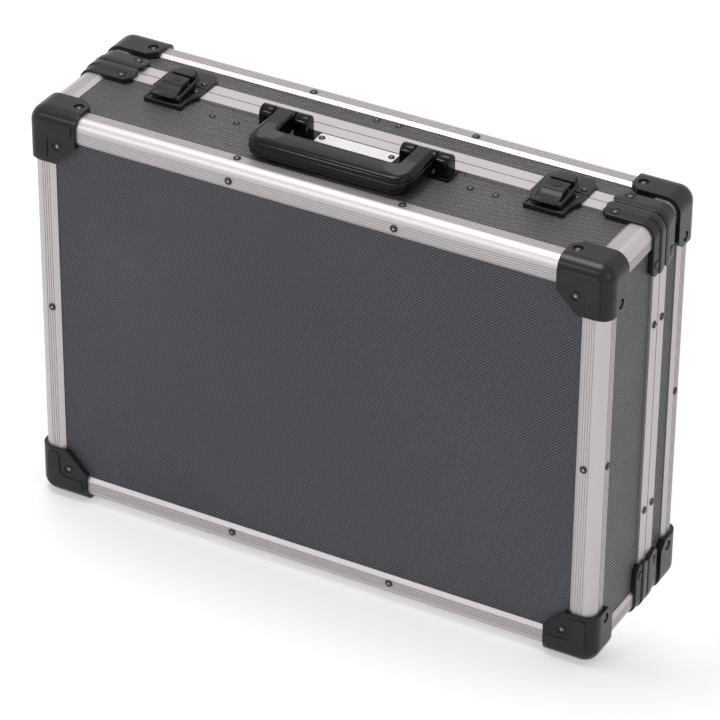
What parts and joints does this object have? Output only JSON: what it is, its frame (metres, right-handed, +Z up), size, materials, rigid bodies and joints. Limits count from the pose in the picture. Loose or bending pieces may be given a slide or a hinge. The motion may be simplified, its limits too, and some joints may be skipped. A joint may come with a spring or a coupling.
{
  "type": "hard tool case",
  "caption": "Hard tool case with grooved metal edge profiles, dark laminate panels, black corner guards, a folding top handle and two draw latches; the lid swings on hidden hinges.",
  "frame": {"origin": "middle of the standing face's bounding box, on the floor", "axes": "+X along the case's length to the right seen from the base's side, +Y from the base shell towards the lid, +Z up to the handle"},
  "size_m": [0.466, 0.141, 0.344],
  "materials": {
    "laminate": "fine diamond-pressed dark grey laminate, satin",
    "profile_aluminium": "satin anodised extrusion with fine grooves",
    "guard_plastic": "moulded black plastic, satin",
    "rivet_metal": "dark gunmetal, semi-gloss",
    "zinc_steel": "zinc-plated, brushed",
    "lining_foam": "charcoal foam, matte",
    "handle_plastic": "moulded black plastic, satin tops and glossy front",
    "plate_aluminium": "bare satin plate",
    "latch_black": "black lacquered steel, satin",
    "lock_metal": "plated, satin"
  },
  "bodies": {
    "base": {"base_front_panel": "laminate", "base_top_panel": "laminate", "base_bottom_panel": "laminate", "base_left_panel": "laminate", "base_right_panel": "laminate", "front_top_profile": "profile_aluminium", "front_bottom_profile": "profile_aluminium", "front_left_profile": "profile_aluminium", "front_right_profile": "profile_aluminium", "base_depth_profiles": "profile_aluminium", "base_seam_frame": "profile_aluminium", "front_corner_guards": "guard_plastic", "base_seam_straps": "guard_plastic", "base_profile_rivets": "rivet_metal", "base_guard_rivets": "rivet_metal", "base_fitting_rivets": "rivet_metal", "base_backing_plates": "zinc_steel", "base_foam": "lining_foam", "handle_plate": "handle_plastic", "label_plate": "plate_aluminium", "handle_pins": "zinc_steel", "left_latch_plate": "latch_black", "right_latch_plate": "latch_black", "lever_pins": "zinc_steel", "hinge_base_leaves": "zinc_steel", "hinge_pins": "zinc_steel", "base_stay_brackets": "zinc_steel"},
    "lid": {"lid_rear_panel": "laminate", "lid_top_panel": "laminate", "lid_bottom_panel": "laminate", "lid_left_panel": "laminate", "lid_right_panel": "laminate", "rear_top_profile": "profile_aluminium", "rear_bottom_profile": "profile_aluminium", "rear_left_profile": "profile_aluminium", "rear_right_profile": "profile_aluminium", "lid_depth_profiles": "profile_aluminium", "lid_seam_frame": "profile_aluminium", "rear_corner_guards": "guard_plastic", "lid_seam_straps": "guard_plastic", "lid_profile_rivets": "rivet_metal", "lid_guard_rivets": "rivet_metal", "lid_fitting_rivets": "rivet_metal", "left_latch_keeper": "latch_black", "right_latch_keeper": "latch_black", "hinge_lid_leaves": "zinc_steel", "lid_stay_brackets": "zinc_steel", "lid_foam": "lining_foam"},
    "handle": {"handle_grip": "handle_plastic"},
    "left_lever": {"left_latch_lever": "latch_black"},
    "right_lever": {"right_latch_lever": "latch_black"},
    "left_bail": {"left_latch_bail": "latch_black"},
    "right_bail": {"right_latch_bail": "latch_black"},
    "left_lock": {"left_lock_barrel": "lock_metal"},
    "right_lock": {"right_lock_barrel": "lock_metal"},
    "left_base_stay": {"left_base_stay_link": "zinc_steel"},
    "right_base_stay": {"right_base_stay_link": "zinc_steel"},
    "left_lid_stay": {"left_lid_stay_link": "zinc_steel"},
    "right_lid_stay": {"right_lid_stay_link": "zinc_steel"}
  },
  "joints": [
    {"name": "lid_hinge", "type": "hinge", "parent": "base", "child": "lid", "pos_m": [0, 0.0185, 0.0025], "axis": [-1, 0, 0], "range_deg": [0, 95]},
    {"name": "handle_hinge", "type": "hinge", "parent": "base", "child": "handle", "pos_m": [0, -0.0015, 0.3374], "axis": [-1, 0, 0], "range_deg": [0, 100]},
    {"name": "left_lever_hinge", "type": "hinge", "parent": "base", "child": "left_lever", "pos_m": [-0.153, 0.0105, 0.3337], "axis": [-1, 0, 0], "range_deg": [0, 100]},
    {"name": "left_bail_hinge", "type": "hinge", "parent": "left_lever", "child": "left_bail", "pos_m": [-0.153, -0.0075, 0.3316], "axis": [-1, 0, 0], "range_deg": [-130, 0]},
    {"name": "left_lock_turn", "type": "hinge", "parent": "left_lever", "child": "left_lock", "pos_m": [-0.153, 0.0089, 0.334], "axis": [0, 0, 1], "range_deg": [0, 90]},
    {"name": "left_base_stay_hinge", "type": "hinge", "parent": "base", "child": "left_base_stay", "pos_m": [-0.219, -0.0215, 0.0625], "axis": [-1, 0, 0], "range_deg": [0, 95]},
    {"name": "left_lid_stay_hinge", "type": "hinge", "parent": "lid", "child": "left_lid_stay", "pos_m": [-0.2165, 0.0405, 0.0925], "axis": [-1, 0, 0], "range_deg": [-95, 0]},
    {"name": "right_lever_hinge", "type": "hinge", "parent": "base", "child": "right_lever", "pos_m": [0.153, 0.0105, 0.3337], "axis": [-1, 0, 0], "range_deg": [0, 100]},
    {"name": "right_bail_hinge", "type": "hinge", "parent": "right_lever", "child": "right_bail", "pos_m": [0.153, -0.0075, 0.3316], "axis": [-1, 0, 0], "range_deg": [-130, 0]},
    {"name": "right_lock_turn", "type": "hinge", "parent": "right_lever", "child": "right_lock", "pos_m": [0.153, 0.0089, 0.334], "axis": [0, 0, 1], "range_deg": [0, 90]},
    {"name": "right_base_stay_hinge", "type": "hinge", "parent": "base", "child": "right_base_stay", "pos_m": [0.219, -0.0215, 0.0625], "axis": [-1, 0, 0], "range_deg": [0, 95]},
    {"name": "right_lid_stay_hinge", "type": "hinge", "parent": "lid", "child": "right_lid_stay", "pos_m": [0.2165, 0.0405, 0.0925], "axis": [-1, 0, 0], "range_deg": [-95, 0]}
  ],
  "couplings": [
    {"joint": "left_bail_hinge", "follows": "left_lever_hinge", "ratio": -1.3},
    {"joint": "left_base_stay_hinge", "follows": "lid_hinge", "ratio": 1},
    {"joint": "left_lid_stay_hinge", "follows": "lid_hinge", "ratio": -1},
    {"joint": "right_bail_hinge", "follows": "right_lever_hinge", "ratio": -1.3},
    {"joint": "right_base_stay_hinge", "follows": "lid_hinge", "ratio": 1},
    {"joint": "right_lid_stay_hinge", "follows": "lid_hinge", "ratio": -1}
  ]
}
